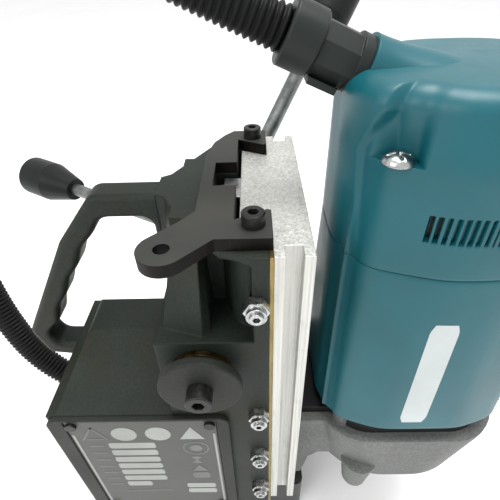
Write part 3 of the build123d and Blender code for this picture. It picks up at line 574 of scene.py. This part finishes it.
def panel_edge(height):
    """Folded angle where the sunk side panel of the cap starts, at a height."""
    for (low, first), (high, second) in zip(PANEL_EDGE[:-1], PANEL_EDGE[1:]):
        if height < high * MM:
            share = max(0.0, (height / MM - low) / (high - low))
            return first + (second - first) * share
    return PANEL_EDGE[-1][1]


VENT_LOW = 297.0 * MM
VENT_HIGH = 310.0 * MM
VENT_PITCH = 3.6
VENT_TURN = 60.0
VENT_DEPTH = 4.6 * MM
VENT_BACK = (3.6 * MM, 5.0 * MM)
PANEL_DEPTH = 2.6
PANEL_TOP_DEPTH = 4.0
BAY_DEPTH = 7.5
CAP_SWELL = 3.0


def cap_radius(angle, height):
    """The cap's wall with its sunk side panels, screw recesses and vent slots."""
    radius = section_radius(angle, SEAM_Z) + ridge(angle, height)
    radius += 0.5 * MM * (smooth(height, SEAM_Z, SEAM_Z + 0.8 * MM) - 1.0)
    swell = smooth(folded(angle), 45.0, 65.0)
    radius += CAP_SWELL * MM * smooth(height, SEAM_Z, SEAM_Z + 55 * MM) * swell
    sunk = smooth(folded(angle), panel_edge(height) - 1.0, panel_edge(height) + 2.5)
    radius -= PANEL_DEPTH * MM * sunk * smooth(height, SEAM_Z + 2 * MM, SEAM_Z + 45 * MM)
    radius -= PANEL_TOP_DEPTH * MM * sunk * smooth(height, SCREW_LEDGE - 4 * MM, CAP_TOP)
    if height > SCREW_LEDGE + 0.05 * MM:
        bay = 1.0 - smooth(abs(folded(angle) - SCREW_TURN), 4.0, 12.0)
        fade = 1.0 - smooth(height, SCREW_LEDGE + 2 * MM, SCREW_LEDGE + 27 * MM)
        radius -= BAY_DEPTH * MM * bay * fade
    if VENT_LOW < height < VENT_HIGH and folded(angle) > VENT_TURN:
        offset = abs((folded(angle) - VENT_TURN) % VENT_PITCH - VENT_PITCH / 2)
        slit = 1.0 - smooth(offset, 0.7, 1.0)
        slit *= smooth(height, VENT_LOW, VENT_LOW + 0.5 * MM)
        slit *= 1.0 - smooth(height, VENT_HIGH - 0.5 * MM, VENT_HIGH)
        radius += slit * (section_radius(angle, SEAM_Z) - VENT_DEPTH - radius)
    return radius


def lathe(shape, heights, radius_at, around=720):
    """Rings of points about the motor's axis, joined into an outer wall."""
    rings = []
    for height in heights:
        ring = []
        for step in range(around):
            angle = 2 * math.pi * step / around
            radius = radius_at(angle, height)
            ring.append(shape.verts.new((MOTOR_X + radius * math.cos(angle),
                                         radius * math.sin(angle), height)))
        rings.append(ring)
    for low, high in zip(rings[:-1], rings[1:]):
        join_rings(shape, low, high)
    return rings


def join_rings(shape, first, second):
    for step in range(len(first)):
        after = (step + 1) % len(first)
        shape.faces.new((first[step], first[after], second[after], second[step]))


def spaced(low, high, step):
    """Heights from low to high, about a step apart."""
    count = round((high - low) / step)
    return [low + (high - low) * number / count for number in range(count + 1)]


def housing_shell(shape):
    """The motor housing: outer wall, bore and the two rims between them."""
    heights = [RIM_Z, RIM_Z + 0.5 * MM, RIM_Z + 1.0 * MM]
    heights += spaced(RIM_Z + 2 * MM, SEAM_Z - 1.0 * MM, 2.2 * MM)
    heights += [SEAM_Z - 0.5 * MM, SEAM_Z - 0.1 * MM]
    outer = lathe(shape, heights, housing_radius)
    inner = lathe(shape, [heights[0], heights[-1]], lambda angle, height: SHELL_BORE)
    join_rings(shape, outer[0], inner[0])
    join_rings(shape, outer[-1], inner[-1])


SHOULDER_DROP = 9 * MM
SHOULDER_INSET = 10 * MM
SHOULDER_RISE = 8.4 * MM
CROWN = 0.6 * MM


def cap_shell(shape):
    """The motor cap: side wall, rounded shoulder, crowned top and a hollow inside."""
    shoulder = CAP_TOP - SHOULDER_DROP
    heights = spaced(SEAM_Z + 0.1 * MM, SCREW_LEDGE, 1.0 * MM) + [SCREW_LEDGE + 0.1 * MM]
    heights += spaced(SCREW_LEDGE + 1 * MM, shoulder, 1.0 * MM)
    outer = lathe(shape, heights, cap_radius)
    last = outer[-1]
    for share in (0.15, 0.3, 0.45, 0.6, 0.75, 0.88, 1.0):
        turn = share * math.pi / 2
        inset = SHOULDER_INSET * (1 - math.cos(turn))
        height = shoulder + SHOULDER_RISE * math.sin(turn)
        ring = lathe(shape, [height],
                     lambda angle, level: cap_radius(angle, shoulder) - inset)[0]
        join_rings(shape, last, ring)
        last = ring
    for share in (0.8, 0.5, 0.2):
        height = CAP_TOP - CROWN * share ** 2
        ring = lathe(shape, [height],
                     lambda angle, level: (cap_radius(angle, shoulder) - SHOULDER_INSET) * share)[0]
        join_rings(shape, last, ring)
        last = ring
    shape.faces.new(last)
    inner = lathe(shape, [heights[0], SCREW_LEDGE], lambda angle, height: SHELL_BORE)
    join_rings(shape, outer[0], inner[0])
    shape.faces.new(inner[-1])


NECK_RADIUS = 13.6 * MM
NECK_LENGTH = 46 * MM
NECK_FLARE = 17 * MM
NECK_RISE = 6 * MM
NECK_SINK = 24 * MM


def neck_fairing(shape):
    """The flared neck that carries the conduit connector, sunk into the cap."""
    inward = Vector((math.cos(NECK_TILT), 0.0, -math.sin(NECK_TILT)))
    lift = Vector((math.sin(NECK_TILT), 0.0, math.cos(NECK_TILT)))
    side = Vector((0.0, 1.0, 0.0))
    last = None
    for share in [number / 24 for number in range(25)]:
        centre = NECK + inward * (NECK_LENGTH * share)
        wide = NECK_RADIUS + NECK_FLARE * share ** 2.0
        tall = NECK_RADIUS + NECK_RISE * smooth(share, 0.0, 1.0)
        deep = NECK_RADIUS + NECK_SINK * share ** 1.5
        ring = []
        for step in range(96):
            angle = 2 * math.pi * step / 96
            height = math.sin(angle) * (tall if math.sin(angle) > 0 else deep)
            ring.append(shape.verts.new(centre + side * (math.cos(angle) * wide) + lift * height))
        if last:
            join_rings(shape, last, ring)
        else:
            shape.faces.new(ring)
        last = ring
    shape.faces.new(last)


def vent_shade_band(shape):
    """A dark band behind the cap's vent slots: painted shade for the motor's unlit inside seen
    through them.
    """
    low, high = VENT_LOW - 2 * MM, VENT_HIGH + 2 * MM
    outer, inner = [
        lathe(shape, [low, high],
              lambda angle, height, inset=inset: section_radius(angle, SEAM_Z) - inset, 180)
        for inset in VENT_BACK]
    join_rings(shape, outer[0], inner[0])
    join_rings(shape, outer[-1], inner[-1])


SCREW_PROFILE = (
    # share of the head's radius, height above the ledge in mm
    (0.3, -6.0), (0.3, 0.0), (0.92, 0.0), (1.0, 0.5), (0.97, 1.4),
    (0.88, 2.4), (0.74, 3.2), (0.58, 3.7), (0.4, 4.0), (0.2, 4.15))
SCREW_SIDES = 64
CROSS_DEPTH = 1.8 * MM


def cap_screw_heads(shape):
    """Four domed screw heads with a cross recess, standing on the cap's ledges."""
    for turn in (SCREW_TURN, 180 - SCREW_TURN, 180 + SCREW_TURN, 360 - SCREW_TURN):
        middle = Vector((MOTOR_X, 0, 0)) + SCREW_RING * Vector(
            (math.cos(math.radians(turn)), math.sin(math.radians(turn)), 0))
        last = None
        for share, level in SCREW_PROFILE:
            ring = []
            for step in range(SCREW_SIDES):
                angle = 2 * math.pi * step / SCREW_SIDES
                cross = max(0.0, 1.0 - abs(math.sin(2 * angle)) / 0.45) if share < 0.6 else 0.0
                drop = CROSS_DEPTH * cross if level > 3 else 0.0
                ring.append(shape.verts.new(middle + Vector((
                    SCREW_HEAD * share * math.cos(angle), SCREW_HEAD * share * math.sin(angle),
                    SCREW_LEDGE + level * MM - drop))))
            if last:
                join_rings(shape, last, ring)
            else:
                shape.faces.new(ring[::-1])
            last = ring
        tip = shape.verts.new(middle + Vector((0, 0, SCREW_LEDGE + 2.2 * MM)))
        for step in range(SCREW_SIDES):
            shape.faces.new((last[step], last[(step + 1) % SCREW_SIDES], tip))


BLANK_LABEL = (math.radians(256.5), math.radians(271.0), 172.0 * MM, 252.0 * MM)


def blank_label(shape):
    """A plain pale label that follows the housing's near side."""
    first, last, low, high = BLANK_LABEL
    rows = []
    for row in range(41):
        height = low + (high - low) * row / 40
        line = []
        for column in range(17):
            share = column / 16
            inset = max(0.0, 0.12 - min(row, 40 - row) * 0.05)
            angle = first + (last - first) * (inset + (1 - 2 * inset) * share)
            radius = housing_radius(angle, height) + 0.15 * MM
            line.append(shape.verts.new((MOTOR_X + radius * math.cos(angle),
                                         radius * math.sin(angle), height)))
        rows.append(line)
    for lower, upper in zip(rows[:-1], rows[1:]):
        for column in range(16):
            shape.faces.new((lower[column], lower[column + 1], upper[column + 1], upper[column]))


def make_motor():
    housing = new_piece("motor_shell", housing_shell, "teal")
    cap = new_piece("cap_shell", cap_shell, "teal")
    neck = new_piece("neck_fairing", neck_fairing, "teal")
    # The dark vent band is painted shade for the inside seen through the slots.
    shade_band = new_piece("vent_shade_band", vent_shade_band, "dark")
    label = new_piece("blank_label", blank_label, "label_white")
    heads = new_piece("cap_screw_heads", cap_screw_heads, "zinc")
    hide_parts("cap_screws")
    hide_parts("motor_housing")
    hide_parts("motor_cap")
    for piece, slot in ((housing, "motor_teal"), (cap, "motor_teal"), (neck, "motor_teal"),
                        (shade_band, "ring_black"), (label, "label_grey"), (heads, "zinc")):
        shade_smooth(piece, 40.0)
        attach(piece, "carriage")


make_motor()


# ---------------------------------------------------------------- rating plate print
PLATE_LOW, PLATE_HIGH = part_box("rating_plate")
PRINT_RISE = 0.12 * MM
PRINT_LEFT = PLATE_LOW[0]
PRINT_TOP = PLATE_HIGH[2]


def printed(shape, outline):
    """A thin raised patch on the plate; outline points are (right, down) in mm."""
    back = [shape.verts.new((PRINT_LEFT + right * MM, PLATE_LOW[1], PRINT_TOP - down * MM))
            for right, down in outline]
    front = [shape.verts.new(vertex.co + Vector((0, -PRINT_RISE, 0))) for vertex in back]
    shape.faces.new(front)
    shape.faces.new(back[::-1])
    for step in range(len(back)):
        after = (step + 1) % len(back)
        shape.faces.new((back[step], back[after], front[after], front[step]))


def bar(left, top, width, height):
    """A rectangle with clipped corners."""
    cut = min(width, height) * 0.18
    right, bottom = left + width, top + height
    return [(left + cut, top), (right - cut, top), (right, top + cut), (right, bottom - cut),
            (right - cut, bottom), (left + cut, bottom), (left, bottom - cut), (left, top + cut)]


def disc(middle, down, radius, sides=32):
    return [(middle + radius * math.cos(2 * math.pi * side / sides),
             down + radius * math.sin(2 * math.pi * side / sides)) for side in range(sides)]


def triangle(middle, top, width, height):
    return [(middle - width / 2, top + height), (middle, top), (middle + width / 2, top + height)]


def ring_mark(shape, middle, down, radius, thick):
    """A printed ring, built as short arcs."""
    for side in range(32):
        outline = []
        for turn, reach in ((side, radius), (side + 1, radius), (side + 1, radius - thick),
                            (side, radius - thick)):
            angle = 2 * math.pi * turn / 32
            outline.append((middle + reach * math.cos(angle), down + reach * math.sin(angle)))
        printed(shape, outline)


TABLE_ROWS = 7
ROW_PITCH = 9.0


def bright_print(shape):
    """Blank pictogram shapes and the table's bars."""
    for middle in (31.5, 51.5):
        printed(shape, disc(middle, 14.0, 7.6))
    printed(shape, triangle(71.0, 6.5, 15.0, 14.0))
    for row in range(TABLE_ROWS):
        width = 28.5 if row < TABLE_ROWS - 1 else 17.0
        printed(shape, bar(19.5, 24.0 + ROW_PITCH * row, width, 7.0))
    for row in range(2):
        printed(shape, bar(60.0, 82.0 + 8.6 * row, 20.0, 7.0))
    for left in (1.0, 83.5):
        printed(shape, bar(left, 14.0, 1.5, 98.0))


def faded_print(shape):
    """Thin lines and small marks that read as faded print."""
    for foot in (6.0, 21.0):
        printed(shape, [(foot - 0.9, 20.5), (12.8, 6.5), (14.4, 6.5), (foot + 0.9, 20.5)])
    printed(shape, bar(8.0, 18.8, 11.0, 1.5))
    for row in range(TABLE_ROWS):
        printed(shape, bar(7.5, 26.6 + ROW_PITCH * row, 9.5, 1.8))
    ring_mark(shape, 72.0, 31.5, 8.2, 1.3)
    printed(shape, disc(72.0, 31.5, 4.0, 20))
    printed(shape, [(67.5, 42.5), (74.5, 42.5), (71.6, 47.0), (74.5, 51.5), (67.5, 51.5),
                    (70.4, 47.0)])
    printed(shape, triangle(71.5, 54.0, 11.0, 9.0))
    printed(shape, bar(66.0, 65.0, 11.5, 8.5))
    printed(shape, bar(17.0, 92.0, 32.0, 1.6))


def make_print():
    for name, maker, key in (("plate_marks", bright_print, "print"),
                             ("plate_faded_marks", faded_print, "faded")):
        piece = new_piece(name, maker, key)
        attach(piece, "frame")


make_print()


# ---------------------------------------------------------------- floor and light
def make_stage():
    """A pale floor under the tool."""
    shader = Shader("studio_floor", Roughness=0.9)
    shader.colour(shader.ramp(shader.noise(3.0, 2.0), (0.3, 0.93), (0.7, 0.96)))
    mesh = bpy.data.meshes.new("studio_floor")
    reach = 6.0
    corners = [(-reach, -reach, 0), (reach, -reach, 0), (reach, reach, 0), (-reach, reach, 0)]
    mesh.from_pydata(corners, [], [(0, 1, 2, 3)])
    mesh.materials.append(shader.material)
    floor = bpy.data.objects.new("studio_floor", mesh)
    bpy.context.scene.collection.objects.link(floor)


WORLD_STRENGTH = 1.0
LIGHTS = (
    # name, place, size, watts
    ("key", (0.3, 0.1, 1.7), 0.8, 24.0),
    ("side", (-0.9, -0.9, 1.1), 0.9, 9.0),
)


def make_lights():
    target = Vector((0.05, 0.0, 0.2))
    for name, place, size, watts in LIGHTS:
        data = bpy.data.lights.new(name, "AREA")
        data.size = size
        data.energy = watts
        lamp = bpy.data.objects.new(name, data)
        bpy.context.scene.collection.objects.link(lamp)
        lamp.location = place
        lamp.rotation_euler = (target - Vector(place)).to_track_quat("-Z", "Y").to_euler()
    world = bpy.data.worlds.new("studio")
    world.use_nodes = True
    world.node_tree.nodes["Background"].inputs["Color"].default_value = (1.0, 1.0, 1.0, 1.0)
    world.node_tree.nodes["Background"].inputs["Strength"].default_value = WORLD_STRENGTH
    bpy.context.scene.world = world
    bpy.context.scene.view_settings.view_transform = "Standard"


make_stage()
make_lights()
